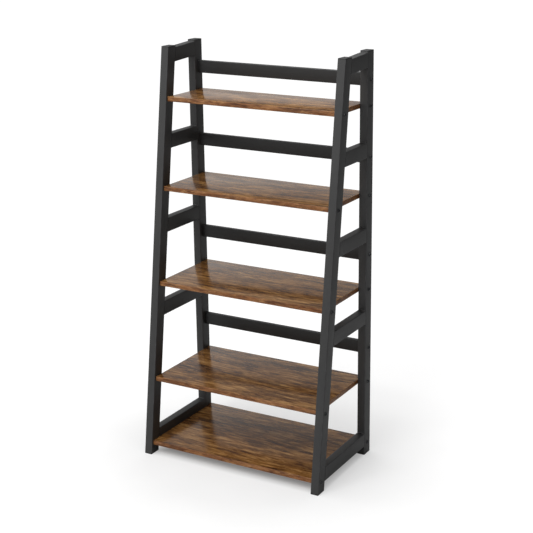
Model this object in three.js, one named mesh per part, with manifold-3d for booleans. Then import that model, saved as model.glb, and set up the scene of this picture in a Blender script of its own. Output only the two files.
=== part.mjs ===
// A free-standing ladder shelf: two welded side frames of rectangular steel tube,
// five boards bolted between them, and four flat-tube rails across the back.
// Millimetres. +X is to the right seen from the front, +Y is towards the back and +Z is up.
// The origin is on the floor, half way across the width and half way along the depth at the feet.

import * as THREE from 'three';
import { mergeVertices } from 'three/addons/utils/BufferGeometryUtils.js';
import Module from 'manifold-3d';

const wasm = await Module();
wasm.setup();

// Overall size. The rear legs stand a little taller than the front ones.
const width = 600;
const height = 1243;
const frontLegHeight = 1237;
const floorDepth = 353;
const frontLean = 142;
const rearLean = 28;

// Steel tube
const wall = 1.2;
const cornerRadius = 2;
const cornerSteps = 2;
const legWidth = 25;
const legDepth = 40;
const railWidth = legWidth;
const backRailDepth = 15;
const backRailHeight = 38;
const backRailSetback = 16;
const endPlate = 3;

// Plastic caps on the tube ends
const capFlange = 3;
const capPlug = 12;

// Boards
const boardThickness = 14;
const boardFrontSetback = 6.5;

// Bolts: M6 button heads with a hexagon socket
const boltRadius = 3;
const boltReach = 15;
const headRadius = 5.5;
const headRim = 1.3;
const headHeight = 3.3;
const headCrownRadius = 3.6;
const socketRadius = 2.3;
const socketDepth = 1.9;
const holeRadius = 3.5;
const holeExtra = 3;
const frontBoltSetback = 15;
const roundSteps = 12;

// Clearance between pieces that touch
const gap = 0.3;

// The five levels, from the top down, with the heights of their tops. A side rail's height is
// taken at its front end, and its rise is how much higher its rear end is. Only the top rail
// climbs, with the tops of the legs.
const sideRailHeight = 43;
const levels = [
  { name: 'top', board: 1091, sideRail: 1232, rise: height - frontLegHeight, backRail: 1179 },
  { name: 'upper', board: 827, sideRail: 978, rise: 0, backRail: 954 },
  { name: 'middle', board: 540, sideRail: 725, rise: 0, backRail: 659 },
  { name: 'lower', board: 245, sideRail: 470, rise: 0, backRail: 366 },
  { name: 'bottom', board: 43, sideRail: 71, rise: 0, backRail: null },
];

// The two sides, with the direction that points away from the middle of the shelf
const sides = [
  { name: 'left', out: -1 },
  { name: 'right', out: 1 },
];

// Each leg's front face and slope: y on the leg's front face is start + slope * z.
// bolt is how far behind that face the bolts of the boards go through the leg.
const legs = [
  {
    name: 'front',
    top: frontLegHeight,
    start: -floorDepth / 2,
    slope: frontLean / frontLegHeight,
    bolt: frontBoltSetback,
  },
  {
    name: 'rear',
    top: height,
    start: floorDepth / 2 - legDepth,
    slope: -rearLean / height,
    bolt: legDepth / 2,
  },
];

const [frontLeg, rearLeg] = legs;
const halfWidth = width / 2;
const innerHalfWidth = halfWidth - legWidth;
const legCentreX = halfWidth - legWidth / 2;

// Finishes
const frameFinish = () => new THREE.MeshStandardMaterial({ color: 0x3d3d3f, roughness: 0.5, metalness: 0.35 });
const boardFinish = () => new THREE.MeshStandardMaterial({ color: 0x8a6a4d, roughness: 0.45, metalness: 0 });
const plasticFinish = () => new THREE.MeshStandardMaterial({ color: 0x1e1e1f, roughness: 0.6, metalness: 0 });
const boltFinish = () => new THREE.MeshStandardMaterial({ color: 0x19191a, roughness: 0.4, metalness: 0.6 });

const shelfUnit = new THREE.Group();

function addPiece(name, geometry, material) {
  geometry.computeVertexNormals();
  const mesh = new THREE.Mesh(geometry, material);
  mesh.name = name;
  shelfUnit.add(mesh);
  return mesh;
}

// --- Solids -------------------------------------------------------------------------------

// A closed geometry with shared vertices, and without triangles that shrank to a line at a pole.
function welded(geometry) {
  const bare = geometry.clone();
  bare.deleteAttribute('normal');
  bare.deleteAttribute('uv');
  const merged = mergeVertices(bare, 1e-4);
  const corners = merged.index.array;
  const kept = [];
  for (let i = 0; i < corners.length; i += 3) {
    const [a, b, c] = corners.slice(i, i + 3);
    if (a !== b && b !== c && c !== a) {
      kept.push(a, b, c);
    }
  }
  merged.setIndex(kept);
  return merged;
}

function solidOf(geometry) {
  const closed = welded(geometry);
  const mesh = new wasm.Mesh({
    numProp: 3,
    vertProperties: new Float32Array(closed.attributes.position.array),
    triVerts: new Uint32Array(closed.index.array),
  });
  return new wasm.Manifold(mesh);
}

function geometryOf(solid) {
  const mesh = solid.getMesh();
  const geometry = new THREE.BufferGeometry();
  geometry.setAttribute('position', new THREE.BufferAttribute(new Float32Array(mesh.vertProperties), 3));
  geometry.setIndex(new THREE.BufferAttribute(new Uint32Array(mesh.triVerts), 1));
  return geometry;
}

function subtractAll(geometry, cutters) {
  let solid = solidOf(geometry);
  for (const cutter of cutters) {
    solid = solid.subtract(solidOf(cutter));
  }
  return geometryOf(solid);
}

// --- Outlines -----------------------------------------------------------------------------

function roundedRectangle(path, sizeX, sizeY, radius) {
  const x = sizeX / 2 - radius;
  const y = sizeY / 2 - radius;
  const quarter = Math.PI / 2;
  path.absarc(x, -y, radius, -quarter, 0, false);
  path.absarc(x, y, radius, 0, quarter, false);
  path.absarc(-x, y, radius, quarter, 2 * quarter, false);
  path.absarc(-x, -y, radius, 2 * quarter, 3 * quarter, false);
  path.closePath();
  return path;
}

function extruded(shape, depth) {
  return new THREE.ExtrudeGeometry(shape, { depth, steps: 1, bevelEnabled: false, curveSegments: cornerSteps });
}

function barGeometry(sizeX, sizeY, depth) {
  return extruded(roundedRectangle(new THREE.Shape(), sizeX, sizeY, cornerRadius), depth);
}

function tubeGeometry(sizeX, sizeY, depth) {
  const outline = roundedRectangle(new THREE.Shape(), sizeX, sizeY, cornerRadius);
  const bore = roundedRectangle(new THREE.Path(), sizeX - 2 * wall, sizeY - 2 * wall, cornerRadius - wall);
  outline.holes.push(bore);
  return extruded(outline, depth);
}

// Leans a geometry by sliding it along Y in proportion to its height.
function lean(geometry, slope) {
  return geometry.applyMatrix4(new THREE.Matrix4().makeShear(0, 0, 0, 0, 0, slope));
}

// y on a leg's front face at a given height
function faceY(leg, z) {
  return leg.start + leg.slope * z;
}

// A cylinder along X from one x to another, for a bolt hole
function holeAlongX(fromX, toX, y, z) {
  const length = Math.abs(toX - fromX);
  const cylinder = new THREE.CylinderGeometry(holeRadius, holeRadius, length, roundSteps);
  return cylinder.rotateZ(-Math.PI / 2).translate((fromX + toX) / 2, y, z);
}

// --- Where the bolts go -------------------------------------------------------------------

// Each board is bolted through every leg, at half its own thickness.
function boardBolt(level, leg) {
  const z = level.board - boardThickness / 2;
  return { y: faceY(leg, z) + leg.bolt, z };
}

// Each back rail is bolted through the rear legs on the rail's own centre line.
function railBolt(level) {
  const z = level.backRail - backRailHeight / 2;
  return { y: faceY(rearLeg, z) + backRailSetback + backRailDepth / 2, z };
}

const railedLevels = levels.filter((level) => level.backRail !== null);

// --- Legs and their caps ------------------------------------------------------------------

function legGeometry(leg, out) {
  const bottom = capFlange + gap;
  const tube = tubeGeometry(legWidth, legDepth, leg.top - 2 * bottom);
  tube.translate(out * legCentreX, leg.start + legDepth / 2, bottom);
  lean(tube, leg.slope);
  const bolts = levels.map((level) => boardBolt(level, leg));
  if (leg === rearLeg) {
    bolts.push(...railedLevels.map(railBolt));
  }
  const clear = 1;
  const holes = bolts.map(({ y, z }) => {
    return holeAlongX(out * (innerHalfWidth - clear), out * (halfWidth + clear), y, z);
  });
  return subtractAll(tube, holes);
}

// A push-in cap: a flange as large as the tube and a plug that fills the tube's bore.
// direction is 1 for a foot, whose plug points up, and -1 for the cap at the top.
function capGeometry(leg, out, flangeZ, direction) {
  const plugInset = 2 * (wall + gap);
  const flange = barGeometry(legWidth, legDepth, capFlange).translate(0, 0, flangeZ);
  const plug = new THREE.BoxGeometry(legWidth - plugInset, legDepth - plugInset, capPlug);
  plug.translate(0, 0, flangeZ + capFlange / 2 + direction * capPlug / 2);
  const cap = geometryOf(solidOf(flange).add(solidOf(plug)));
  cap.translate(out * legCentreX, leg.start + legDepth / 2, 0);
  return lean(cap, leg.slope);
}

for (const side of sides) {
  for (const leg of legs) {
    const place = `${leg.name}_${side.name}`;
    addPiece(`leg_${place}`, legGeometry(leg, side.out), frameFinish());
    addPiece(`foot_${place}`, capGeometry(leg, side.out, 0, 1), plasticFinish());
    addPiece(`top_cap_${place}`, capGeometry(leg, side.out, leg.top - capFlange, -1), plasticFinish());
  }
}

// --- Side rails ---------------------------------------------------------------------------

// A tube from the front leg to the rear leg, with both ends cut to the legs' slopes.
function sideRailGeometry(level, out) {
  const tube = tubeGeometry(railWidth, sideRailHeight, 1);
  const points = tube.attributes.position;
  for (let i = 0; i < points.count; i += 1) {
    const z = points.getY(i) + level.sideRail - sideRailHeight / 2 + level.rise * points.getZ(i);
    const frontEnd = faceY(frontLeg, z) + legDepth + gap;
    const rearEnd = faceY(rearLeg, z) - gap;
    const y = THREE.MathUtils.lerp(frontEnd, rearEnd, points.getZ(i));
    points.setXYZ(i, out * legCentreX - points.getX(i), y, z);
  }
  return welded(tube);
}

for (const side of sides) {
  for (const level of levels) {
    addPiece(`side_rail_${side.name}_${level.name}`, sideRailGeometry(level, side.out), frameFinish());
  }
}

// --- Boards -------------------------------------------------------------------------------

// A board flush with the rear legs at the back, with a blind hole for each bolt in its ends.
function boardGeometry(level) {
  const front = faceY(frontLeg, level.board) + boardFrontSetback;
  const back = faceY(rearLeg, level.board) + legDepth;
  const endX = innerHalfWidth - gap;
  const board = new THREE.BoxGeometry(2 * endX, back - front, boardThickness);
  board.translate(0, (front + back) / 2, level.board - boardThickness / 2);
  const holes = [];
  for (const side of sides) {
    for (const leg of legs) {
      const { y, z } = boardBolt(level, leg);
      const bottomX = side.out * (innerHalfWidth - boltReach - holeExtra);
      holes.push(holeAlongX(bottomX, side.out * halfWidth, y, z));
    }
  }
  return subtractAll(board, holes);
}

for (const level of levels) {
  addPiece(`shelf_${level.name}`, boardGeometry(level), boardFinish());
}

// --- Back rails ---------------------------------------------------------------------------

// A flat tube with a plate welded into each end, and a tapped hole through each plate.
function backRailGeometry(level) {
  const endX = innerHalfWidth - gap;
  const bolt = railBolt(level);
  const outside = barGeometry(backRailHeight, backRailDepth, 2 * endX);
  const boreHeight = backRailHeight - 2 * wall;
  const boreDepth = backRailDepth - 2 * wall;
  const boreLength = 2 * (endX - endPlate);
  const bore = new THREE.BoxGeometry(boreHeight, boreDepth, boreLength);
  bore.translate(0, 0, endX);
  const rail = subtractAll(outside, [bore]);
  rail.translate(0, 0, -endX).rotateY(Math.PI / 2);
  lean(rail, rearLeg.slope).translate(0, bolt.y, bolt.z);
  const holes = sides.map((side) => {
    const inside = innerHalfWidth - 2 * endPlate;
    return holeAlongX(side.out * inside, side.out * halfWidth, bolt.y, bolt.z);
  });
  return subtractAll(rail, holes);
}

for (const level of railedLevels) {
  addPiece(`back_rail_${level.name}`, backRailGeometry(level), frameFinish());
}

// --- Bolts --------------------------------------------------------------------------------

// The bolt stands on the Y axis with the underside of its head at zero, then turns along X.
function boltGeometry(out, y, z) {
  const profile = [
    new THREE.Vector2(0, -legWidth - boltReach),
    new THREE.Vector2(boltRadius, -legWidth - boltReach),
    new THREE.Vector2(boltRadius, 0),
    new THREE.Vector2(headRadius, 0),
    new THREE.Vector2(headRadius, headRim),
    new THREE.Vector2(headCrownRadius, headHeight),
    new THREE.Vector2(0, headHeight),
  ];
  const blank = new THREE.LatheGeometry(profile, roundSteps);
  const socket = new THREE.CylinderGeometry(socketRadius, socketRadius, 2 * socketDepth, 6);
  socket.translate(0, headHeight, 0);
  const bolt = subtractAll(blank, [socket]);
  bolt.rotateZ(-out * Math.PI / 2);
  return bolt.translate(out * (halfWidth + gap), y, z);
}

for (const side of sides) {
  for (const level of levels) {
    for (const leg of legs) {
      const { y, z } = boardBolt(level, leg);
      const name = `shelf_bolt_${leg.name}_${side.name}_${level.name}`;
      addPiece(name, boltGeometry(side.out, y, z), boltFinish());
    }
  }
  for (const level of railedLevels) {
    const { y, z } = railBolt(level);
    addPiece(`rail_bolt_${side.name}_${level.name}`, boltGeometry(side.out, y, z), boltFinish());
  }
}

export default shelfUnit;
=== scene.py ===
# %% [markdown]
# # A ladder shelf in steel tube and wood-grain board
# The real shelf is two welded side frames, five boards bolted between them and four flat
# rails across the back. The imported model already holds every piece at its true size, with
# plain surfaces. This lesson gives each piece its round corners, its holes and its finish.
# Every new piece is measured from the CAD node that it stands for, so nothing has to be
# fitted by eye. Lengths are in metres, with +Z up and the back of the shelf towards +Y.

import bmesh
import bpy
import numpy as np
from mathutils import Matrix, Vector
from mathutils.geometry import delaunay_2d_cdt


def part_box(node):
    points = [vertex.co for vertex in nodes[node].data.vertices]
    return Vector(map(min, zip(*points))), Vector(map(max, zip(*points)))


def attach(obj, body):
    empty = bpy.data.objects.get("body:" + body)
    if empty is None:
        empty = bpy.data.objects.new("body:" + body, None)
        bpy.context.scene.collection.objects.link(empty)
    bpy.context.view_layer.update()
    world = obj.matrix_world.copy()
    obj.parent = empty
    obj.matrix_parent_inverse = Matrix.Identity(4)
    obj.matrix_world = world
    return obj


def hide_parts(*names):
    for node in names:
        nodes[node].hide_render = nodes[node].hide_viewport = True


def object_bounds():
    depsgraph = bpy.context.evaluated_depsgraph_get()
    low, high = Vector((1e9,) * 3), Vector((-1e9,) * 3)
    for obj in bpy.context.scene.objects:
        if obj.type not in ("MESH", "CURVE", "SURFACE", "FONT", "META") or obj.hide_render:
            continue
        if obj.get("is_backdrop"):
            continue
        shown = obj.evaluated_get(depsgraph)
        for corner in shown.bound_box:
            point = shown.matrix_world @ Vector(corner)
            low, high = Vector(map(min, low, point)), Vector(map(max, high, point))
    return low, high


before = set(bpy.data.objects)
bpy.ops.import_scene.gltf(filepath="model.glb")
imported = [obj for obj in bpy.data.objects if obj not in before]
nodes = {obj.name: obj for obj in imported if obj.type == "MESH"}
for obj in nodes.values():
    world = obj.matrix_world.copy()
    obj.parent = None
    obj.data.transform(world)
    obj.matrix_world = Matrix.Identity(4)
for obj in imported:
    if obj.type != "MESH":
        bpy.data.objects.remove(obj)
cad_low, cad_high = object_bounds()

MM = 0.001
print(f"{len(nodes)} CAD nodes, box {tuple(cad_low)} to {tuple(cad_high)}")

# %% [markdown]
# ## The camera
# The shelf is seen from its right and from above its own top, through a long lens from far
# off, which keeps the uprights nearly parallel. The camera looks down at about the middle
# of the shelf, and a small lens shift, as on a view camera, straightens the uprights further.
# Its turn is counted from straight ahead towards the left, and its tilt from level upwards,
# both in radians. The camera comes first because every later choice is judged through it.

# %% Place the camera
CAMERA_PLACE = Vector((1.7955, -3.1396, 1.6795))
CAMERA_TURN = 0.5044
CAMERA_TILT = -0.2655
SENSOR_WIDTH = 36.0
LENS_LENGTH = 85.745
LENS_SHIFT = (-0.0163, -0.06)

lens = bpy.data.cameras.new("view_camera")
lens.sensor_width = SENSOR_WIDTH
lens.lens = LENS_LENGTH
lens.shift_x, lens.shift_y = LENS_SHIFT
camera = bpy.data.objects.new("view_camera", lens)
bpy.context.scene.collection.objects.link(camera)
look = Vector((
    -np.sin(CAMERA_TURN) * np.cos(CAMERA_TILT),
    np.cos(CAMERA_TURN) * np.cos(CAMERA_TILT),
    np.sin(CAMERA_TILT),
))
camera.location = CAMERA_PLACE
camera.rotation_mode = "QUATERNION"
camera.rotation_quaternion = look.to_track_quat("-Z", "Y")
bpy.context.scene.camera = camera
print(f"camera {CAMERA_PLACE.length:.2f} m from the middle of the feet, {LENS_LENGTH} mm lens")

# %% [markdown]
# ## Rings, bridges and plates
# Nearly every piece here is a section carried along a straight path: a rounded rectangle for
# the tubes, boards and caps, a circle for the bolts. A `Skin` gathers such rings of points.
# `bridge` joins two rings of equal length with quads, and `plate` fills a flat outline with
# triangles and leaves holes open in it. Rings share their points with the faces on both
# sides, so the surface closes without any merging. Each point also keeps an `edge` value,
# which is 1 in the middle of a round corner, where a real finish wears first.

# %% The ring builder
INSIDE_ONLY = 1
SAME_POINT = 1e-9
SHARP_FROM = np.radians(40)


class Skin:
    """Rings of points and the faces between them, gathered until piece() makes one closed mesh."""

    def __init__(self):
        self.points = []
        self.edges = []
        self.faces = []
        self.count = 0

    def ring(self, points, edge=0.0):
        """Adds points in order round a closed line, and gives back their numbers."""
        numbers = np.arange(len(points)) + self.count
        self.points.append(np.asarray(points, float))
        self.edges.append(np.broadcast_to(edge, len(points)).astype(float))
        self.count += len(points)
        return numbers

    def bridge(self, ring, other, keep=None):
        """Quad i has point i and i + 1 of one ring, then i + 1 and i of the other."""
        quads = np.stack([ring, np.roll(ring, -1), np.roll(other, -1), other], 1)
        self.faces.append(quads if keep is None else quads[keep])

    def stack(self, rings):
        """Bridges each ring to the next."""
        for ring, other in zip(rings, rings[1:]):
            self.bridge(ring, other)

    def plate(self, outline, holes=()):
        """Fills a flat outline with triangles, and leaves each round hole open.
        A triangle with all three corners on one hole lies inside it, and is dropped."""
        loops = [outline, *holes]
        numbers = np.concatenate(loops)
        places = np.concatenate(self.points)[numbers]
        flat_axes = np.sort(np.argsort(np.ptp(places, axis=0))[1:])
        flat = [Vector(p) for p in places[:, flat_axes]]
        loop_of = np.repeat(np.arange(len(loops)), [len(loop) for loop in loops])
        first = np.concatenate([[0], np.cumsum([len(loop) for loop in loops])])
        ahead = np.arange(len(numbers)) + 1
        for start, end in zip(first, first[1:]):
            ahead[end - 1] = start
        lines = np.stack([np.arange(len(numbers)), ahead], 1).tolist()
        made = delaunay_2d_cdt(flat, lines, [], INSIDE_ONLY, SAME_POINT)
        source = np.array([given[0] for given in made[3]])
        triangles = source[np.array(made[2])]
        owners = loop_of[triangles]
        in_hole = (owners[:, 0] > 0) & (np.ptp(owners, axis=1) == 0)
        self.faces.append(numbers[triangles[~in_hole]])


def piece(name, skin, body="root"):
    """Makes the skin's mesh, turns its faces outwards and puts it on its CAD body."""
    mesh = bpy.data.meshes.new(name)
    faces = [face for group in skin.faces for face in group.tolist()]
    mesh.from_pydata(np.concatenate(skin.points), [], faces)
    wear = mesh.attributes.new("edge", "FLOAT", "POINT")
    wear.data.foreach_set("value", np.concatenate(skin.edges).astype(np.float32))
    tidy = bmesh.new()
    tidy.from_mesh(mesh)
    bmesh.ops.recalc_face_normals(tidy, faces=tidy.faces)
    tidy.to_mesh(mesh)
    open_edges = sum(not edge.is_manifold for edge in tidy.edges)
    tidy.free()
    if open_edges:
        raise ValueError(f"{name} has {open_edges} open edges")
    mesh.shade_smooth()
    mesh.set_sharp_from_angle(angle=SHARP_FROM)
    made = bpy.data.objects.new(name, mesh)
    bpy.context.scene.collection.objects.link(made)
    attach(made, body)
    return made


print(f"edges turn sharp from {np.degrees(SHARP_FROM):.0f} degrees")

# %% [markdown]
# A rounded rectangle has four quarter circles. Going round it, point k of a corner is the
# corner's centre plus the radius times (cos a, sin a), with a running over 90 degrees. The
# two straight sides that face along x matter later, because the bolts go through them.

# %% Sections
CORNER_STEPS = 6
SIDE_RIGHT = CORNER_STEPS
SIDE_LEFT = 3 * CORNER_STEPS + 2


def rounded_rectangle(size_a, size_b, radius, steps=CORNER_STEPS):
    """Points (a, b): each corner's centre + radius * (cos t, sin t), anticlockwise."""
    turn = np.linspace(0, np.pi / 2, steps + 1)
    start = np.arange(4) * np.pi / 2 - np.pi / 2
    angle = (start[:, None] + turn).ravel()
    sign_a = np.repeat([1, 1, -1, -1], steps + 1)
    sign_b = np.repeat([-1, 1, 1, -1], steps + 1)
    a = sign_a * (size_a / 2 - radius) + radius * np.cos(angle)
    b = sign_b * (size_b / 2 - radius) + radius * np.sin(angle)
    return np.stack([a, b], 1)


def corner_wear(steps=CORNER_STEPS):
    """The edge value round a rounded rectangle: the sine of twice each corner's angle."""
    turn = np.linspace(0, np.pi / 2, steps + 1)
    return np.tile(np.sin(2 * turn), 4)


def circle(radius, count):
    """Points (a, b) at radius * (cos t, sin t)."""
    t = np.arange(count) * 2 * np.pi / count
    return radius * np.stack([np.cos(t), np.sin(t)], 1)


def across(x, points, y, z):
    """Puts flat points (a, b) in the plane at x, with a along y and b along z."""
    return np.column_stack([np.broadcast_to(x, len(points)), y + points[:, 0], z + points[:, 1]])


print(f"a corner has {CORNER_STEPS} steps, a section {len(rounded_rectangle(1, 1, 0.1))} points")

# %% [markdown]
# ## Where the legs stand
# The front legs lean back and the rear legs lean forward a little, so each leg is a section
# that slides along y as it climbs. Two level cuts of the CAD leg, one at each end, give its
# size and its slope. Everything that meets a leg can then ask where its face is at a height.

# %% Measure the legs
def mesh_points(node):
    """All points of a CAD node's mesh, one row of x, y and z for each."""
    vertices = nodes[node].data.vertices
    co = np.empty(len(vertices) * 3, np.float32)
    vertices.foreach_get("co", co)
    return co.reshape(-1, 3).astype(float)


class Leg:
    """A straight leg: its front face is at y = start + slope * z."""

    def __init__(self, name):
        co = mesh_points(name)
        low_end = co[co[:, 2] < co[:, 2].min() + MM]
        high_end = co[co[:, 2] > co[:, 2].max() - MM]
        self.z = (low_end[:, 2].mean(), high_end[:, 2].mean())
        self.x = (low_end[:, 0].min(), low_end[:, 0].max())
        rise = self.z[1] - self.z[0]
        self.slope = (high_end[:, 1].min() - low_end[:, 1].min()) / rise
        self.start = low_end[:, 1].min() - self.slope * self.z[0]
        self.depth = np.ptp(low_end[:, 1])
        self.width = np.ptp(low_end[:, 0])

    def face(self, z):
        """The y of the front face at height z."""
        return self.start + self.slope * z

    def middle(self, z):
        """The y of the leg's middle at height z."""
        return self.face(z) + self.depth / 2


SIDES = {"left": -1, "right": 1}
LEVELS = ["top", "upper", "middle", "lower", "bottom"]
RAILED = LEVELS[:-1]
legs = {(end, side): Leg(f"leg_{end}_{side}") for side in SIDES for end in ("front", "rear")}
for (end, side), leg in legs.items():
    size = f"{leg.width / MM:.1f} x {leg.depth / MM:.1f} mm"
    print(f"{end} {side} leg: {size}, slope {leg.slope:.4f}")


def centre(node):
    """The middle of a CAD node's box."""
    low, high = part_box(node)
    return (low + high) / 2


def bolts_through(end, side):
    """The y and z of each bolt that goes through a leg."""
    names = [f"shelf_bolt_{end}_{side}_{level}" for level in LEVELS]
    if end == "rear":
        names += [f"rail_bolt_{side}_{level}" for level in RAILED]
    return [(centre(name).y, centre(name).z) for name in names]


# %% [markdown]
# ## Steel tube
# A leg is a hollow tube of 1.2 mm steel with small outside corners. The outer and inner
# skins are the same section at two sizes, joined by a flat rim at each end. The two flat
# sides are left out of the bridge and filled as plates with a round hole for each bolt, and
# a short tunnel through the wall joins the hole of the outer plate to that of the inner one.
# A boolean would cut the same holes, but it leaves long slivers beside them.

# %% Legs
WALL = 1.2 * MM
TUBE_CORNER = 2.0 * MM
HOLE_RADIUS = 3.5 * MM
HOLE_STEPS = 24
FIT = 0.05 * MM


def leg_ring(leg, z, wall):
    """A level cut of the leg at height z, with its skin moved in by wall."""
    flat = rounded_rectangle(leg.width - 2 * wall, leg.depth - 2 * wall, TUBE_CORNER - wall)
    x = np.mean(leg.x) + flat[:, 0]
    return np.column_stack([x, leg.middle(z) + flat[:, 1], np.full(len(flat), z)])


def leg_piece(end, side):
    """Each skin runs straight from the section at the foot to the same section at the top.
    Rims join the two skins at both ends, and tunnels join their bolt holes."""
    leg = legs[end, side]
    skin = Skin()
    walls = []
    for wall in (0, WALL):
        wear = corner_wear() if wall == 0 else 0.0
        low = skin.ring(leg_ring(leg, leg.z[0], wall), wear)
        high = skin.ring(leg_ring(leg, leg.z[1], wall), wear)
        keep = np.ones(len(low), bool)
        keep[[SIDE_LEFT, SIDE_RIGHT]] = False
        skin.bridge(low, high, keep)
        faces = {}
        for flat, x in ((SIDE_LEFT, leg.x[0] + wall), (SIDE_RIGHT, leg.x[1] - wall)):
            outline = np.array([low[flat], low[flat + 1], high[flat + 1], high[flat]])
            holes = [
                skin.ring(across(x, circle(HOLE_RADIUS, HOLE_STEPS), y, z))
                for y, z in bolts_through(end, side)
            ]
            skin.plate(outline, holes)
            faces[flat] = holes
        walls.append((low, high, faces))
    (low, high, outer), (low_in, high_in, inner) = walls
    skin.bridge(low, low_in)
    skin.bridge(high, high_in)
    for flat in outer:
        for hole, hole_in in zip(outer[flat], inner[flat]):
            skin.bridge(hole, hole_in)
    made = piece(f"leg_tube_{end}_{side}", skin)
    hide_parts(f"leg_{end}_{side}")
    return made


steel = [leg_piece(end, side) for end, side in legs]
print(f"{len(steel)} legs, {len(steel[0].data.polygons)} faces on the first")

# %% [markdown]
# ## Side rails
# Five tubes are welded between the legs of each frame. Four are level, and the top one climbs
# a little to the back with the tops of the legs. Their ends are cut to the slope of the leg
# that they meet, so the section is carried from one leg's face to the other's: at each point
# the end's y comes from the leg's face at that point's own height. A CAD rail has points
# only at its two ends, so each end's height is read from the points of its own half.

# %% Side rails
def rail_ends(side, level):
    """The lowest and highest z of a side rail at its front end, then at its rear end."""
    co = mesh_points(f"side_rail_{side}_{level}")
    at_front = co[:, 1] < (co[:, 1].min() + co[:, 1].max()) / 2
    return [(co[end, 2].min(), co[end, 2].max()) for end in (at_front, ~at_front)]


def side_rail_piece(side, level):
    """Both ends are the same section (x, z), and a point's y is the leg's face at its own z."""
    low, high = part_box(f"side_rail_{side}_{level}")
    front, rear = legs["front", side], legs["rear", side]
    near_z, far_z = rail_ends(side, level)
    skin = Skin()
    ends = []
    for wall in (0, WALL):
        size = (high.x - low.x - 2 * wall, near_z[1] - near_z[0] - 2 * wall)
        flat = rounded_rectangle(*size, TUBE_CORNER - wall)
        x = (low.x + high.x) / 2 + flat[:, 0]
        wear = corner_wear() if wall == 0 else 0.0
        z = np.mean(near_z) + flat[:, 1]
        near = skin.ring(np.column_stack([x, front.face(z) + front.depth + FIT, z]), wear)
        z = np.mean(far_z) + flat[:, 1]
        far = skin.ring(np.column_stack([x, rear.face(z) - FIT, z]), wear)
        skin.bridge(near, far)
        ends.append((near, far))
    skin.bridge(ends[0][0], ends[1][0])
    skin.bridge(ends[0][1], ends[1][1])
    made = piece(f"side_tube_{side}_{level}", skin)
    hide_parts(f"side_rail_{side}_{level}")
    return made


side_rails = [side_rail_piece(side, level) for side in SIDES for level in LEVELS]
steel += side_rails
print(f"{len(side_rails)} side rails")

# %% [markdown]
# ## Weld beads
# Where a rail meets a leg, the welder runs a short bead along the top and the underside.
# The flush sides are ground flat before painting. A bead is a quarter round carried across
# the tube, and its radius swells and shrinks a little along the way, which gives the ripple
# of a row of overlapping weld pools.

# %% Weld beads
BEAD_RADIUS = 2.2 * MM
BEAD_RIPPLE = 0.22 * MM
BEAD_PITCH = 2.4 * MM
BEAD_STEPS = 56
BEAD_ARC_STEPS = 6
BEAD_HOLLOW = 0.25
TAPER_RATE = 4
TAPER_LEAST = 0.05


def bead_rings(skin, x_range, y, z, out_y, out_z):
    """Across x, the section is the corner point (y, z) and an arc of radius r(x) round it,
    with r(x) = bead radius + ripple * cos(2 pi x / pitch). At angle t the arc is hollowed to
    1 - hollow * sin 2t of that radius. The bead narrows to a fifth of its size at both ends."""
    x = np.linspace(*x_range, BEAD_STEPS)
    share = np.linspace(0, 1, BEAD_STEPS)
    taper = np.clip(np.sin(np.pi * share) * TAPER_RATE, TAPER_LEAST, 1) ** 0.5
    radius = taper * (BEAD_RADIUS + BEAD_RIPPLE * np.cos(2 * np.pi * x / BEAD_PITCH))
    turn = np.linspace(0, np.pi / 2, BEAD_ARC_STEPS + 1)
    hollow = 1 - BEAD_HOLLOW * np.sin(2 * turn)
    grid = np.empty((BEAD_STEPS, BEAD_ARC_STEPS + 2, 3))
    grid[:, :, 0] = x[:, None]
    grid[:, :-1, 1] = y + out_y * radius[:, None] * hollow * np.cos(turn)
    grid[:, :-1, 2] = z + out_z * radius[:, None] * hollow * np.sin(turn)
    grid[:, -1, 1:] = (y - out_y * FIT, z - out_z * FIT)
    rings = [skin.ring(points) for points in grid]
    skin.stack(rings)
    skin.plate(rings[0])
    skin.plate(rings[-1])


def weld_piece(side, level):
    """Four beads: under and over the rail, where it meets the front leg and the rear leg."""
    low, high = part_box(f"side_rail_{side}_{level}")
    front, rear = legs["front", side], legs["rear", side]
    x_range = (low.x + TUBE_CORNER, high.x - TUBE_CORNER)
    skin = Skin()
    for near_z, far_z, out_z in zip(*rail_ends(side, level), (-1, 1)):
        bead_rings(skin, x_range, front.face(near_z) + front.depth, near_z, 1, out_z)
        bead_rings(skin, x_range, rear.face(far_z), far_z, -1, out_z)
    made = piece(f"weld_{side}_{level}", skin)
    return made


welds = [weld_piece(side, level) for side in SIDES for level in LEVELS]
print(f"{len(welds)} sets of four weld beads")

# %% [markdown]
# ## Back rails
# A back rail is a flat tube with a plate welded into each end. The bolt goes through the
# leg and into a tapped hole in that plate. The rail stands between the rear legs and leans
# with them, so its section's y moves by the legs' slope times the height above its centre.

# %% Back rails
END_PLATE = 3.0 * MM


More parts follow.
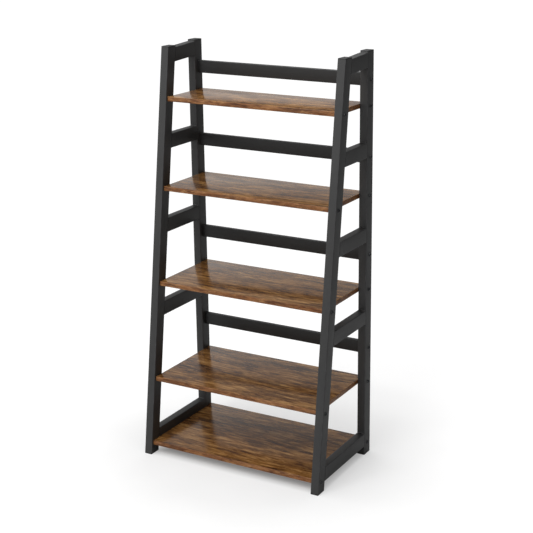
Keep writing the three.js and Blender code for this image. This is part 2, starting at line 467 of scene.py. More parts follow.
def back_rail_piece(level):
    """A section carried along x. A point at b above the middle moves by slope * b along y."""
    low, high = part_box(f"back_rail_{level}")
    rear = legs["rear", "left"]
    middle = (low + high) / 2
    tall = high.z - low.z
    deep = high.y - low.y - abs(rear.slope) * tall
    end_x = legs["rear", "right"].x[0] - FIT

    def section(x, wall, corner):
        """The rail's outline at x, moved in by the wall and leaning with the legs."""
        flat = rounded_rectangle(deep - 2 * wall, tall - 2 * wall, corner)
        leaning = flat + np.column_stack([rear.slope * flat[:, 1], np.zeros(len(flat))])
        return across(x, leaning, middle.y, middle.z)

    skin = Skin()
    inside_x = end_x - END_PLATE
    outer, inner, tunnels = [], [], []
    for out in (-1, 1):
        outer.append(skin.ring(section(out * end_x, 0, TUBE_CORNER), corner_wear()))
        inner.append(skin.ring(section(out * inside_x, WALL, TUBE_CORNER - WALL)))
        hole = circle(HOLE_RADIUS, HOLE_STEPS)
        mouth = skin.ring(across(out * end_x, hole, middle.y, middle.z))
        back = skin.ring(across(out * inside_x, hole, middle.y, middle.z))
        tunnels.append((mouth, back))
    skin.bridge(*outer)
    skin.bridge(*inner)
    for rim, rim_in, (mouth, back) in zip(outer, inner, tunnels):
        skin.plate(rim, [mouth])
        skin.plate(rim_in, [back])
        skin.bridge(mouth, back)
    made = piece(f"back_tube_{level}", skin)
    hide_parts(f"back_rail_{level}")
    return made


back_rails = [back_rail_piece(level) for level in RAILED]
steel += back_rails
print(f"{len(back_rails)} back rails")

# %% [markdown]
# ## Boards
# A board is chipboard with a printed wood-grain face, and a strip of the same print glued
# round its edges. The arrises are broken to a radius of about a millimetre, which catches a
# thin line of light along the front. The section is carried along x, and it shrinks over
# the last millimetre at each end to round the end arrises too, while its corners lose nine
# tenths of their radius. Each end has two blind holes for the threaded inserts.

# %% Boards
ARRIS = 0.9 * MM
ARRIS_STEPS = 4
INSERT_RADIUS = 4.6 * MM
INSERT_HOLE = 4.75 * MM
INSERT_LENGTH = 16.0 * MM
INSERT_INSET = 0.6 * MM
HOLE_SPARE = 1.0 * MM
CORNER_LOSS = 0.9


def board_piece(level):
    """A section carried along x. Over the last arris at each end, at angle t of a quarter
    circle, it is inset by arris * (1 - sin t) at arris * (1 - cos t) from the end."""
    low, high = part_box(f"shelf_{level}")
    middle = (low + high) / 2
    end_x = legs["rear", "right"].x[0] - FIT
    skin = Skin()

    def section(x, inset):
        """The board's outline at x, moved in by the inset."""
        size = (high.y - low.y - 2 * inset, high.z - low.z - 2 * inset)
        flat = rounded_rectangle(*size, ARRIS - inset * CORNER_LOSS, ARRIS_STEPS)
        return across(x, flat, middle.y, middle.z)

    turn = np.linspace(0, np.pi / 2, ARRIS_STEPS + 1)
    inset = ARRIS * (1 - np.sin(turn))
    back = ARRIS * (1 - np.cos(turn))
    steps = list(zip(-end_x + back, inset)) + list(zip(end_x - back[::-1], inset[::-1]))
    rings = [skin.ring(section(x, shrink), corner_wear(ARRIS_STEPS)) for x, shrink in steps]
    skin.stack(rings)
    for side, out in SIDES.items():
        mouths = []
        for end in ("front", "rear"):
            bolt = centre(f"shelf_bolt_{end}_{side}_{level}")
            hole = circle(INSERT_HOLE, HOLE_STEPS)
            mouth = skin.ring(across(out * end_x, hole, bolt.y, bolt.z))
            depth_x = out * (end_x - INSERT_INSET - INSERT_LENGTH - HOLE_SPARE)
            bottom = skin.ring(across(depth_x, hole, bolt.y, bolt.z))
            skin.bridge(mouth, bottom)
            skin.plate(bottom)
            mouths.append(mouth)
        skin.plate(rings[0] if out < 0 else rings[-1], mouths)
    made = piece(f"board_{level}", skin)
    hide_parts(f"shelf_{level}")
    return made


boards = [board_piece(level) for level in LEVELS]
print(f"{len(boards)} boards, arris {ARRIS / MM:.1f} mm")

# %% [markdown]
# ## Threaded inserts
# Chipboard doesn't hold a machine thread, so a steel insert with an M6 bore sits in each end
# hole. It is a sleeve with a knurled outside: the outer radius goes up and down with the
# angle. The four inserts of a board are one piece here.

# %% Inserts
KNURL_DEPTH = 0.18 * MM
KNURL_COUNT = 18
BORE_RADIUS = 3.12 * MM
INSERT_STEPS = 72


def insert_set(level):
    """Outside radius = radius - depth * (1 + cos(count * t)) / 2 at angle t, with a round bore."""
    skin = Skin()
    end_x = legs["rear", "right"].x[0] - FIT - INSERT_INSET
    t = np.arange(INSERT_STEPS) * 2 * np.pi / INSERT_STEPS
    ripple = 1 - KNURL_DEPTH / INSERT_RADIUS * (0.5 + 0.5 * np.cos(KNURL_COUNT * t))
    outside = circle(INSERT_RADIUS, INSERT_STEPS) * ripple[:, None]
    bore = circle(BORE_RADIUS, INSERT_STEPS)
    for side, out in SIDES.items():
        for end in ("front", "rear"):
            bolt = centre(f"shelf_bolt_{end}_{side}_{level}")
            near, far = out * end_x, out * (end_x - INSERT_LENGTH)
            loops = [
                skin.ring(across(x, flat, bolt.y, bolt.z))
                for x, flat in ((near, bore), (near, outside), (far, outside), (far, bore))
            ]
            skin.stack(loops + loops[:1])
    made = piece(f"inserts_{level}", skin)
    return made


inserts = [insert_set(level) for level in LEVELS]
print(f"{len(inserts)} sets of inserts")

# %% [markdown]
# ## Bolts
# Each bolt is an M6 with a low domed head and a hexagon socket. Its rings run along x: the
# chamfered tip, the shank, the underside of the head, the dome as part of an ellipse, and
# the socket, where a ring of the same count is pushed out to a hexagon, and the shallow cone
# that the drill leaves at its bottom. A hexagon's radius at an angle is its flat's distance
# divided by the cosine of the angle from that flat.

# %% Bolts
BOLT_STEPS = 48
SHANK_RADIUS = 3.0 * MM
SHANK_CHAMFER = 0.6 * MM
HEAD_RIM = 0.9 * MM
SOCKET_FLAT = 2.0 * MM
SOCKET_DEPTH = 1.9 * MM
SOCKET_LEAD = 0.25 * MM
SOCKET_MOUTH = 1.2
RIM_BREAK = 0.2 * MM
DOME_TURN = 1.02
DOME_STEPS = 7
DRILL_SHARE = 0.3
DRILL_DEPTH = 0.5 * MM


def hexagon(flat, count):
    """Radius flat / cos(t - the nearest flat's angle), at equal angles t."""
    t = np.arange(count) * 2 * np.pi / count
    off = (t + np.pi / 6) % (np.pi / 3) - np.pi / 6
    return (flat / np.cos(off))[:, None] * np.stack([np.cos(t), np.sin(t)], 1)


def bolt_piece(node, side):
    """Circles along x. Over the dome, at angle t, the radius is head radius * cos t and the
    height dome * sin t / sin(last t)."""
    low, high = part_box(node)
    out = SIDES[side]
    seat = out * (legs["rear", "right"].x[1] + FIT)
    tip = low.x if out > 0 else high.x
    crown = high.x if out > 0 else low.x
    head_radius = (high.z - low.z) / 2
    dome = abs(crown - seat) - HEAD_RIM
    y, z = (low.y + high.y) / 2, (low.z + high.z) / 2
    skin = Skin()
    turn = np.linspace(0, DOME_TURN, DOME_STEPS)
    dome_radius = head_radius * np.cos(turn)
    dome_x = seat + out * (HEAD_RIM + dome * np.sin(turn) / np.sin(turn[-1]))
    profile = [
        (tip, SHANK_RADIUS - SHANK_CHAMFER, 0),
        (tip + out * SHANK_CHAMFER, SHANK_RADIUS, 0),
        (seat, SHANK_RADIUS, 0),
        (seat, head_radius - RIM_BREAK, 0),
        (seat + out * RIM_BREAK, head_radius, 1),
        *zip(dome_x, dome_radius, np.linspace(1, 0, len(turn))),
    ]
    rings = [skin.ring(across(x, circle(r, BOLT_STEPS), y, z), wear) for x, r, wear in profile]
    lead = skin.ring(across(crown, circle(SOCKET_FLAT * SOCKET_MOUTH, BOLT_STEPS), y, z), 1.0)
    hex_points = hexagon(SOCKET_FLAT, BOLT_STEPS)
    mouth = skin.ring(across(crown - out * SOCKET_LEAD, hex_points, y, z))
    floor = skin.ring(across(crown - out * SOCKET_DEPTH, hex_points, y, z))
    cone = circle(SOCKET_FLAT * DRILL_SHARE, BOLT_STEPS)
    point = skin.ring(across(crown - out * (SOCKET_DEPTH + DRILL_DEPTH), cone, y, z))
    skin.stack([*rings, lead, mouth, floor, point])
    skin.plate(rings[0])
    skin.plate(point)
    made = piece(node.replace("bolt", "screw"), skin)
    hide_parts(node)
    return made


bolts = []
for side in SIDES:
    for level in LEVELS:
        bolts += [bolt_piece(f"shelf_bolt_{end}_{side}_{level}", side) for end in ("front", "rear")]
    bolts += [bolt_piece(f"rail_bolt_{side}_{level}", side) for level in RAILED]
print(f"{len(bolts)} bolts")

# %% [markdown]
# ## Caps and feet
# Both ends of every leg are closed by a moulded cap. A flange the size of the tube covers
# the cut steel, and a ribbed plug grips the bore. The section is the leg's own, carried a
# few millimetres up its slope, pulled in at the rim and again for each rib.

# %% Caps and feet
FLANGE = 3.0 * MM
CAP_ROUND = 0.8 * MM
PLUG_LENGTH = 12.0 * MM
PLUG_SLACK = 0.35 * MM
RIB_DEPTH = 0.5 * MM
RIB_COUNT = 3
RIB_PROFILE = ((0.25, RIB_DEPTH), (0.45, 0.0), (0.65, 0.0), (0.85, RIB_DEPTH))
ROUND_STEPS = 5
LEAST_CORNER = 0.5 * MM


def cap_piece(kind, end, side):
    """Level cuts of the leg, each at a depth from the cap's outer face and with an inset. The
    rim is a quarter circle: depth = r * (1 - cos t) and inset = r * (1 - sin t)."""
    leg = legs[end, side]
    low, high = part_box(f"{kind}_{end}_{side}")
    up = 1 if kind == "foot" else -1
    face = low.z if up > 0 else high.z
    skin = Skin()

    def section(depth, inset, wear=0.0):
        """A level cut of the leg this far into the cap, moved in by the inset."""
        z = face + up * depth
        size = (leg.width - 2 * inset, leg.depth - 2 * inset)
        corner = max(TUBE_CORNER - inset, LEAST_CORNER)
        flat = rounded_rectangle(*size, corner)
        x = np.mean(leg.x) + flat[:, 0]
        ring = np.column_stack([x, leg.middle(z) + flat[:, 1], np.full(len(flat), z)])
        return skin.ring(ring, wear)

    turn = np.linspace(0, np.pi / 2, ROUND_STEPS)
    rings = [
        section(CAP_ROUND * (1 - np.cos(t)), CAP_ROUND * (1 - np.sin(t)), np.sin(2 * t))
        for t in turn
    ]
    rings.append(section(FLANGE, 0))
    snug = WALL + PLUG_SLACK
    rings.append(section(FLANGE, snug + RIB_DEPTH))
    pitch = PLUG_LENGTH / RIB_COUNT
    for rib in range(RIB_COUNT):
        start = FLANGE + rib * pitch
        rings += [section(start + share * pitch, snug + sunk) for share, sunk in RIB_PROFILE]
    rings.append(section(FLANGE + PLUG_LENGTH, snug + 2 * RIB_DEPTH))
    skin.stack(rings)
    skin.plate(rings[0])
    skin.plate(rings[-1])
    made = piece(f"{kind}_plug_{end}_{side}", skin)
    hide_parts(f"{kind}_{end}_{side}")
    return made


caps = [cap_piece(kind, end, side) for kind in ("foot", "top_cap") for end, side in legs]
print(f"{len(caps)} caps and feet")

# %% [markdown]
# ## Building shader nodes
# Every finish is a small network of nodes. One helper makes a node, sets its options and
# fills its inputs, so that a network reads from the texture coordinates down to the shader.
# The last helper here links the three results of a finish: colour, roughness and bump.

# %% Node helpers
def fill(tree, node, inputs):
    """Fills a node's inputs. A socket is linked, and anything else is a plain value."""
    for name, value in inputs.items():
        if isinstance(value, bpy.types.NodeSocket):
            tree.links.new(value, node.inputs[name])
        else:
            node.inputs[name].default_value = value
    return node


def add(tree, kind, inputs=None, **options):
    """Adds a node, sets its options and fills its inputs."""
    made = tree.nodes.new(f"ShaderNode{kind}")
    for name, value in options.items():
        setattr(made, name, value)
    return fill(tree, made, inputs or {})


def ramp(tree, factor, stops):
    """A colour ramp with stops of (position, (red, green, blue))."""
    made = add(tree, "ValToRGB", {"Fac": factor})
    elements = made.color_ramp.elements
    while len(elements) < len(stops):
        elements.new(1.0)
    for element, (position, colour) in zip(elements, stops):
        element.position = position
        element.color = (*colour, 1.0)
    return made.outputs["Color"]


def remap(tree, value, from_low, from_high, to_low, to_high):
    """Straight-line map of one range to another, held at its ends."""
    made = add(tree, "MapRange", {
        "Value": value, "From Min": from_low, "From Max": from_high,
        "To Min": to_low, "To Max": to_high,
    })
    return made.outputs["Result"]


def math(tree, operation, a, b=0.0):
    """One operation on two numbers or sockets."""
    return add(tree, "Math", {0: a, 1: b}, operation=operation).outputs["Value"]


def blend(tree, mode, factor, a, b):
    """Mixes two colours."""
    made = add(tree, "Mix", {"Factor": factor, 6: a, 7: b}, data_type="RGBA", blend_type=mode)
    return made.outputs[2]


def group(name, inputs, outputs):
    """An empty shader group. Inputs are (name, type, value) and outputs (name, type)."""
    tree = bpy.data.node_groups.new(name, "ShaderNodeTree")
    for label, kind, value in inputs:
        socket = tree.interface.new_socket(label, in_out="INPUT", socket_type=f"NodeSocket{kind}")
        if value is not None:
            socket.default_value = value
    for label, kind in outputs:
        tree.interface.new_socket(label, in_out="OUTPUT", socket_type=f"NodeSocket{kind}")
    return tree, tree.nodes.new("NodeGroupInput"), tree.nodes.new("NodeGroupOutput")


def use_group(tree, source, inputs):
    """A node that runs a shader group, with its inputs filled."""
    made = tree.nodes.new("ShaderNodeGroup")
    made.node_tree = source
    return fill(tree, made, inputs)


def finish_material(name):
    """A material with a Principled shader, its object coordinates and its node tree."""
    material = bpy.data.materials.new(name)
    material.use_nodes = True
    tree = material.node_tree
    tree.nodes.clear()
    shader = tree.nodes.new("ShaderNodeBsdfPrincipled")
    output = tree.nodes.new("ShaderNodeOutputMaterial")
    tree.links.new(shader.outputs["BSDF"], output.inputs["Surface"])
    place = tree.nodes.new("ShaderNodeTexCoord").outputs["Object"]
    return material, tree, shader, place


def link_results(tree, shader, colour, rough, height, strength, distance):
    """Links the colour and roughness, and turns a height into a bump over a distance."""
    bump = add(tree, "Bump", {"Height": height, "Strength": strength, "Distance": distance})
    fill(tree, shader, {
        "Base Color": colour, "Roughness": rough, "Normal": bump.outputs["Normal"],
    })


print("node helpers ready")

# %% [markdown]
# Two effects turn up in more than one finish. `worn_edges` reads the edge value that the
# ring builder stored and breaks it up with noise, so wear comes in patches. `fine_texture`
# is the small unevenness of a sprayed or moulded surface, with a slow drift over it that
# moves the roughness from place to place.

# %% Shared effects
PATCH_START, PATCH_FULL = 0.42, 0.68

worn_edges, entry, leave = group(
    "worn_edges",
    [("Vector", "Vector", None), ("Scale", "Float", 60.0), ("Amount", "Float", 0.5)],
    [("Mask", "Float")],
)
edge_value = add(worn_edges, "Attribute", attribute_name="edge").outputs["Fac"]
patches = add(worn_edges, "TexNoise", {
    "Vector": entry.outputs["Vector"], "Scale": entry.outputs["Scale"], "Detail": 4.0,
}).outputs["Fac"]
patchy = remap(worn_edges, patches, PATCH_START, PATCH_FULL, 0.0, 1.0)
worn = math(worn_edges, "MULTIPLY", edge_value, patchy)
mask = math(worn_edges, "MULTIPLY", worn, entry.outputs["Amount"])
worn_edges.links.new(mask, leave.inputs["Mask"])

fine_texture, entry, leave = group(
    "fine_texture",
    [("Vector", "Vector", None), ("Grain", "Float", 900.0), ("Drift", "Float", 9.0)],
    [("Height", "Float"), ("Drift", "Float")],
)
grain = add(fine_texture, "TexNoise", {
    "Vector": entry.outputs["Vector"], "Scale": entry.outputs["Grain"], "Detail": 2.0,
}).outputs["Fac"]
slow = add(fine_texture, "TexNoise", {
    "Vector": entry.outputs["Vector"], "Scale": entry.outputs["Drift"], "Detail": 5.0,
}).outputs["Fac"]
fine_texture.links.new(grain, leave.inputs["Height"])
fine_texture.links.new(slow, leave.inputs["Drift"])
print("groups:", [g.name for g in bpy.data.node_groups])

# %% [markdown]
# The paint, the plastic and the dark steel are one kind of finish with different numbers: a
# colour and a roughness that follow the slow drift, fine dimples, and edges that show a
# rubbed colour.

# %% A finely textured finish
DRIFT_LOW, DRIFT_HIGH = 0.3, 0.7


def fine_finish(name, grain, drift, wear_scale, wear_amount, dark, light, rubbed,
                rough_low, rough_high, bump, bump_depth, polish=0.0, metallic=0.0):
    """Roughness = a straight line of the drift, less polish * wear on the rubbed edges."""
    material, tree, shader, place = finish_material(name)
    texture = use_group(tree, fine_texture, {"Vector": place, "Grain": grain, "Drift": drift})
    wear = use_group(tree, worn_edges, {
        "Vector": place, "Scale": wear_scale, "Amount": wear_amount,
    }).outputs["Mask"]
    slow = texture.outputs["Drift"]
    tone = ramp(tree, slow, [(DRIFT_LOW, dark), (DRIFT_HIGH, light)])
    colour = blend(tree, "MIX", wear, tone, (*rubbed, 1.0))
    rough = remap(tree, slow, DRIFT_LOW, DRIFT_HIGH, rough_low, rough_high)
    if polish:
        rough = math(tree, "SUBTRACT", rough, math(tree, "MULTIPLY", wear, polish))
    shader.inputs["Metallic"].default_value = metallic
    link_results(tree, shader, colour, rough, texture.outputs["Height"], bump, bump_depth)
    return material


print("a fine finish uses", fine_texture.name, "and", worn_edges.name)

# %% [markdown]
# ## Powder coat
# The frame is steel under a charcoal powder coat. Powder flows into a skin that is smooth
# from afar and finely dimpled close up, called orange peel. It is a non-metal over metal,
# so Metallic stays at zero, and its sheen comes from a moderate roughness. The back rails
# get a darker copy of the same coat as painted shade, because they stand in the boards' shadow.

# %% Powder coat
def powder_coat(name, dark, light):
    """A neutral coat that drifts between two greys."""
    return fine_finish(
        name, grain=1100.0, drift=7.0, wear_scale=45.0, wear_amount=0.55,
        dark=(dark,) * 3, light=(light,) * 3, rubbed=(0.075, 0.076, 0.078),
        rough_low=0.40, rough_high=0.50, bump=0.25, bump_depth=0.12 * MM, polish=0.1,
    )


frame_coat = powder_coat("charcoal_powder_coat", 0.021, 0.027)
# The back rails' coat is the frame's coat painted darker: painted shade from the boards above.
rail_coat_painted_shade = powder_coat("charcoal_coat_painted_shade", 0.008, 0.011)
for made in steel + welds:
    made.data.materials.append(rail_coat_painted_shade if made in back_rails else frame_coat)
print(f"{frame_coat.name} on {len(steel + welds) - len(back_rails)} pieces")

# %% [markdown]
# ## Wood-grain print
# The boards carry a printed picture of old sawn wood. Close up it is built of short dashes
# along the board, dark and light, over soft clouds of a darker stain and a slow drift from
# red-brown to straw. Stretching a noise along x makes the dashes. A second noise bends the
# first one's coordinates a little, so that the dashes wander as grain does round a knot. The
# start of the noise picks which piece of the endless pattern lands on the boards. The print
# has a clear gloss of its own, so its roughness is low. The edge strips are duller, and use
# the same pattern 1.6 times finer.

# %% Wood-grain group
GRAIN_START = (3.7, 1.3, 8.1)
BEND_SCALE = (4.0, 11.0, 11.0)
BEND_REACH = 0.035
STREAK_SHARE = 0.65

wood_grain, entry, leave = group(
    "wood_grain",
    [("Vector", "Vector", None)],
    [(label, "Float") for label in ("Tone", "Clouds", "Dashes", "Pores", "Drift")],
)
place = entry.outputs["Vector"]
bend_place = add(wood_grain, "Mapping", {"Vector": place, "Scale": BEND_SCALE}).outputs[0]
bend_noise = add(wood_grain, "TexNoise", {
    "Vector": bend_place, "Scale": 1.0, "Detail": 3.0,
}).outputs["Fac"]
bend = add(wood_grain, "CombineXYZ", {"Y": math(wood_grain, "MULTIPLY", bend_noise, BEND_REACH)})
bent = add(wood_grain, "VectorMath", {0: place, 1: bend.outputs[0]}, operation="ADD").outputs[0]


def stretched(along, across, detail, roughness=0.6, source=bent):
    """A noise with `along` features per metre in x and `across` of them in y and z."""
    mapped = add(wood_grain, "Mapping", {
        "Vector": source, "Location": GRAIN_START, "Scale": (along, across, across),
    })
    return add(wood_grain, "TexNoise", {
        "Vector": mapped.outputs[0], "Scale": 1.0, "Detail": detail, "Roughness": roughness,
    }).outputs["Fac"]


streaks = stretched(along=12.0, across=95.0, detail=8.0, roughness=0.70)
bands = stretched(along=4.5, across=24.0, detail=5.0)
clouds = stretched(along=7.0, across=30.0, detail=6.0, roughness=0.66)
dashes = stretched(along=24.0, across=135.0, detail=5.0, roughness=0.65)
pores = stretched(along=90.0, across=900.0, detail=2.0)
drift = stretched(along=2.2, across=5.0, detail=2.0, roughness=0.5, source=place)
streak_part = math(wood_grain, "MULTIPLY", streaks, STREAK_SHARE)
band_part = math(wood_grain, "MULTIPLY", bands, 1 - STREAK_SHARE)
tone = math(wood_grain, "ADD", streak_part, band_part)
fill(wood_grain, leave, {
    "Tone": tone, "Clouds": clouds, "Dashes": dashes, "Pores": pores, "Drift": drift,
})
print("the wood grain gives:", [socket.name for socket in leave.inputs if socket.name])

# %% [markdown]
# A board's colour starts as a ramp of the tone, and layers go over it one by one. A layer
# grows from nothing to its full share as its noise goes from one value to another. A
# darkening layer multiplies what is under it, and a covering layer mixes its colour in.

# %% Board finishes
STRAW = (1.0, 1.03, 1.05)
DARK_DASH = (0.38, 0.32, 0.32)
LIGHT_DASH = (0.52, 0.29, 0.115)
PORE = (0.35, 0.30, 0.27)
BARE_EDGE = (0.26, 0.15, 0.075)
CLOUD_LOW, CLOUD_HIGH = 0.35, 0.65
PRINT_SPECULAR = 0.32


def wood_print(name, stops, cloud_colour, cloud_share, rough_low, rough_high, fineness):
    """Colour = the ramp, then each layer in turn, then the worn edges."""
    material, tree, shader, place = finish_material(name)
    sized = add(tree, "VectorMath", {0: place, "Scale": fineness}, operation="SCALE").outputs[0]
    grain = use_group(tree, wood_grain, {"Vector": sized}).outputs
    wear = use_group(tree, worn_edges, {"Vector": place, "Scale": 30.0, "Amount": 0.5})
    # Each layer: its noise, the values where it starts and is full, its share, mode and colour.
    layers = [
        ("Drift", 0.42, 0.60, 0.75, "MULTIPLY", STRAW),
        ("Clouds", 0.51, 0.60, cloud_share, "MIX", cloud_colour),
        ("Dashes", 0.55, 0.63, 0.90, "MULTIPLY", DARK_DASH),
        ("Dashes", 0.43, 0.35, 0.45, "MIX", LIGHT_DASH),
        ("Pores", 0.60, 0.70, 0.40, "MULTIPLY", PORE),
    ]
    colour = ramp(tree, grain["Tone"], stops)
    for noise, start, full, share, mode, layer_colour in layers:
        amount = remap(tree, grain[noise], start, full, 0.0, share)
        colour = blend(tree, mode, amount, colour, (*layer_colour, 1.0))
    colour = blend(tree, "MIX", wear.outputs["Mask"], colour, (*BARE_EDGE, 1.0))
    rough = remap(tree, grain["Clouds"], CLOUD_LOW, CLOUD_HIGH, rough_low, rough_high)
    shader.inputs["Specular IOR Level"].default_value = PRINT_SPECULAR
    link_results(tree, shader, colour, rough, grain["Pores"], strength=0.12, distance=0.15 * MM)
    return material


face_print = wood_print(
    "rustic_board_face",
    stops=[
        (0.38, (0.045, 0.016, 0.005)),
        (0.45, (0.145, 0.060, 0.016)),
        (0.53, (0.265, 0.124, 0.036)),
        (0.61, (0.440, 0.240, 0.088)),
    ],
    cloud_colour=(0.062, 0.026, 0.013), cloud_share=0.68,
    rough_low=0.15, rough_high=0.23, fineness=1.0,
)
edge_print = wood_print(
    "rustic_board_edge",
    stops=[
        (0.38, (0.070, 0.022, 0.007)),
        (0.45, (0.150, 0.054, 0.016)),
        (0.53, (0.235, 0.098, 0.034)),
        (0.61, (0.320, 0.154, 0.062)),
    ],
    cloud_colour=(0.050, 0.018, 0.008), cloud_share=0.40,
    rough_low=0.34, rough_high=0.44, fineness=1.6,
)
print("board finishes:", face_print.name, "and", edge_print.name)

# %% [markdown]
# The face print covers the top and the underside, and the edge strip covers the other four
# sides. Each face of the mesh gets its material by its normal: where the normal's z is
# small, the face belongs to an edge.

# %% Give each face its print
EDGE_NORMAL = 0.6
for board in boards:
    board.data.materials.append(face_print)
    board.data.materials.append(edge_print)
    normals = np.empty(len(board.data.polygons) * 3, np.float32)
    board.data.polygons.foreach_get("normal", normals)
    is_edge = np.abs(normals.reshape(-1, 3)[:, 2]) < EDGE_NORMAL
    board.data.polygons.foreach_set("material_index", is_edge.astype(np.int32))
    board.data.update()
print("edge faces on the last board:", int(is_edge.sum()))

# %% [markdown]
# ## Black plastic and blackened steel
# The caps are moulded in black plastic with a fine spark texture, duller than the paint.
# The bolts and inserts are blackened steel: mostly metal under a thin dark skin, with a
# satin grain and brighter rims where tools have rubbed them.

# %% Plastic and steel
plastic = fine_finish(
    "black_moulded_plastic", grain=1600.0, drift=30.0, wear_scale=120.0, wear_amount=0.5,
    dark=(0.0100, 0.0100, 0.0105), light=(0.0160, 0.0160, 0.0165), rubbed=(0.05, 0.05, 0.05),
    rough_low=0.48, rough_high=0.60, bump=0.35, bump_depth=0.10 * MM,
)
black_steel = fine_finish(
    "blackened_steel", grain=2500.0, drift=150.0, wear_scale=300.0, wear_amount=0.6,
    dark=(0.020, 0.020, 0.022), light=(0.045, 0.045, 0.048), rubbed=(0.22, 0.22, 0.23),
    rough_low=0.32, rough_high=0.46, bump=0.20, bump_depth=0.06 * MM, metallic=0.8,
)
for made in caps:
    made.data.materials.append(plastic)
for made in bolts + inserts:
    made.data.materials.append(black_steel)
print("finishes:", [m.name for m in bpy.data.materials])

# %% [markdown]
# ## Studio
# The shelf stands on a white floor that runs out of sight. A studio keeps such a floor white
# by lighting it on its own, but a white floor also bounces light up into dark paint and
# greys it. So the floor here is a middle grey for every bounce, and only the camera sees the
# extra glow that lifts it to white. The glow is least round the feet, which keeps the real
# shadows from washing out and also paints some extra shade there, and it grows with
# distance, because the soft boxes light the far floor less. Under the bottom board more
# than half of it is taken away, a painted shadow that leaves a dark line of contact. Each
# reach below is the pair of distances where a change starts and ends.

# %% Floor
FLOOR_SIZE = 60.0
FLOOR_CELLS = 8
FLOOR_GREY = 0.50
FLOOR_MOTTLE = 0.01
GLOW_BY_FEET_WITH_PAINTED_SHADE = 0.45
GLOW_NEARBY = 0.60
GLOW_FAR_EXTRA = 0.17
PAINTED_SHADOW_UNDER_SHELF = 0.28
NEARBY_REACH = (0.35, 0.75)
FAR_REACH = (0.90, 5.0)
PAINTED_SHADOW_REACH = (-0.055, 0.0)


def floor_surface():
    """A flat grid: x and y run over the floor's size, z is zero."""
    lines = FLOOR_CELLS + 1
    side = np.linspace(-FLOOR_SIZE / 2, FLOOR_SIZE / 2, lines)
    x, y = np.meshgrid(side, side)
    points = np.column_stack([x.ravel(), y.ravel(), np.zeros(x.size)])
    corner = (np.arange(FLOOR_CELLS)[:, None] * lines + np.arange(FLOOR_CELLS)).ravel()
    quads = np.stack([corner, corner + 1, corner + lines + 1, corner + lines], 1)
    mesh = bpy.data.meshes.new("studio_floor")
    mesh.from_pydata(points, [], quads.tolist())
    made = bpy.data.objects.new("studio_floor", mesh)
    bpy.context.scene.collection.objects.link(made)
    made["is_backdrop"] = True
    return made


floor = floor_surface()
paper, tree, shader, place = finish_material("studio_paper")
paper_grain = add(tree, "TexNoise", {"Vector": place, "Scale": 4.0}).outputs["Fac"]
tone = ramp(tree, paper_grain, [
    (0.3, (FLOOR_GREY - FLOOR_MOTTLE,) * 3),
    (0.7, (FLOOR_GREY + FLOOR_MOTTLE,) * 3),
])
tree.links.new(tone, shader.inputs["Base Color"])
shader.inputs["Roughness"].default_value = 0.9
shader.inputs["Specular IOR Level"].default_value = 0.0
shader.inputs["Emission Color"].default_value = (1.0, 1.0, 1.0, 1.0)
seen_by_camera = tree.nodes.new("ShaderNodeLightPath").outputs["Is Camera Ray"]
distance = add(tree, "VectorMath", {0: place}, operation="LENGTH").outputs["Value"]
# Less glow round the feet: painted shade that deepens the real shadows there.
near_glow_with_painted_shade = remap(tree, distance, *NEARBY_REACH, GLOW_BY_FEET_WITH_PAINTED_SHADE, GLOW_NEARBY)
glow = math(tree, "ADD", near_glow_with_painted_shade, remap(tree, distance, *FAR_REACH, 0.0, GLOW_FAR_EXTRA))
# Glow taken away inside the shelf's outline: a painted shadow under the bottom board.
from_middle = add(tree, "VectorMath", {0: place}, operation="ABSOLUTE").outputs[0]
past_edge = add(tree, "VectorMath", {0: from_middle, 1: (cad_high[0], cad_high[1], 0.0)},
                operation="SUBTRACT").outputs[0]
past = add(tree, "SeparateXYZ", {0: past_edge})
outside = math(tree, "MAXIMUM", past.outputs["X"], past.outputs["Y"])
glow = math(tree, "SUBTRACT", glow, remap(tree, outside, *PAINTED_SHADOW_REACH, PAINTED_SHADOW_UNDER_SHELF, 0.0))
tree.links.new(math(tree, "MULTIPLY", seen_by_camera, glow), shader.inputs["Emission Strength"])
floor.data.materials.append(paper)
print(f"floor {FLOOR_SIZE} m across")

# %% [markdown]
# The light is a sky that is bright on one side: its strength rises in a straight line with the
# cosine of the angle to a point on the horizon, in front and to the left. The front faces take
# nearly three times the light of the right-hand ones, which is what gives square tube its shape.
# The sky also dims towards the top, so that the boards don't outshine the frame. The camera
# itself sees plain white behind the shelf. Two soft boxes add slightly firmer shadows.

# %% World and lights
SEEN_WHITE = 1.0
BRIGHT_SIDE = (-0.68, -0.73, 0.0)
SKY_MEAN = 0.84
SKY_RISE = 0.85
SKY_TOP = 0.6
SKY_DIM_FROM, SKY_DIM_TO = 0.0, 0.6
SOFTBOX_SIZE = 1.8
KEY_PLACE, KEY_POWER = (-0.4, -2.6, 3.4), 66.0
TOP_PLACE, TOP_POWER = (0.1, 0.5, 3.2), 33.0

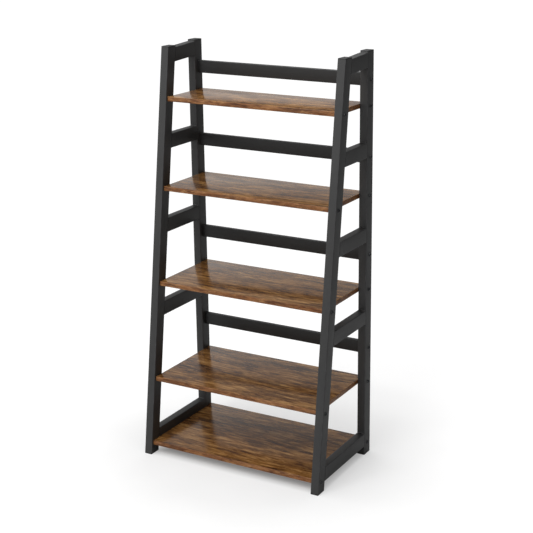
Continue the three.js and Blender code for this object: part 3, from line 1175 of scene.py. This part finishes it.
world = bpy.data.worlds.new("studio_world")
bpy.context.scene.world = world
world.use_nodes = True
tree = world.node_tree
tree.nodes.clear()
ray = tree.nodes.new("ShaderNodeLightPath")
seen = add(tree, "Background", {"Color": (1.0, 1.0, 1.0, 1.0), "Strength": SEEN_WHITE})
towards = tree.nodes.new("ShaderNodeTexCoord").outputs["Generated"]
facing = add(tree, "VectorMath", {0: towards, 1: BRIGHT_SIDE}, operation="DOT_PRODUCT")
sky = remap(tree, facing.outputs["Value"], -SKY_MEAN / SKY_RISE, 1.0, 0.0, SKY_MEAN + SKY_RISE)
height = add(tree, "SeparateXYZ", {0: towards}).outputs["Z"]
dimming = remap(tree, height, SKY_DIM_FROM, SKY_DIM_TO, 1.0, SKY_TOP)
sky = math(tree, "MULTIPLY", sky, dimming)
lit = add(tree, "Background", {"Color": (1.0, 1.0, 1.0, 1.0), "Strength": sky})
mixed = add(tree, "MixShader", {
    0: ray.outputs["Is Camera Ray"], 1: lit.outputs[0], 2: seen.outputs[0],
})
output = tree.nodes.new("ShaderNodeOutputWorld")
tree.links.new(mixed.outputs[0], output.inputs["Surface"])


def soft_light(name, place, aim, power):
    """A square soft box that points from its place to the aim."""
    lamp = bpy.data.lights.new(name, "AREA")
    lamp.shape = "SQUARE"
    lamp.size = SOFTBOX_SIZE
    lamp.energy = power
    made = bpy.data.objects.new(name, lamp)
    made.location = place
    made.rotation_mode = "QUATERNION"
    made.rotation_quaternion = (Vector(aim) - Vector(place)).to_track_quat("-Z", "Y")
    bpy.context.scene.collection.objects.link(made)
    return made


middle = (cad_low + cad_high) / 2
soft_light("key_softbox", KEY_PLACE, middle, KEY_POWER)
soft_light("top_softbox", TOP_PLACE, middle, TOP_POWER)

bpy.context.scene.view_settings.view_transform = "Standard"
print("studio ready")

# %% [markdown]
# ## Measure the size
# The visual model has to fill the same box as the CAD model. The last line prints how far
# each side of its box lies from that of the CAD box, in millimetres.

# %% Measure and finish
new_low, new_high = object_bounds()
growth = [round((a - b) / MM, 2) for a, b in zip([*new_low, *new_high], [*cad_low, *cad_high])]
print("visual box less CAD box, mm:", growth)
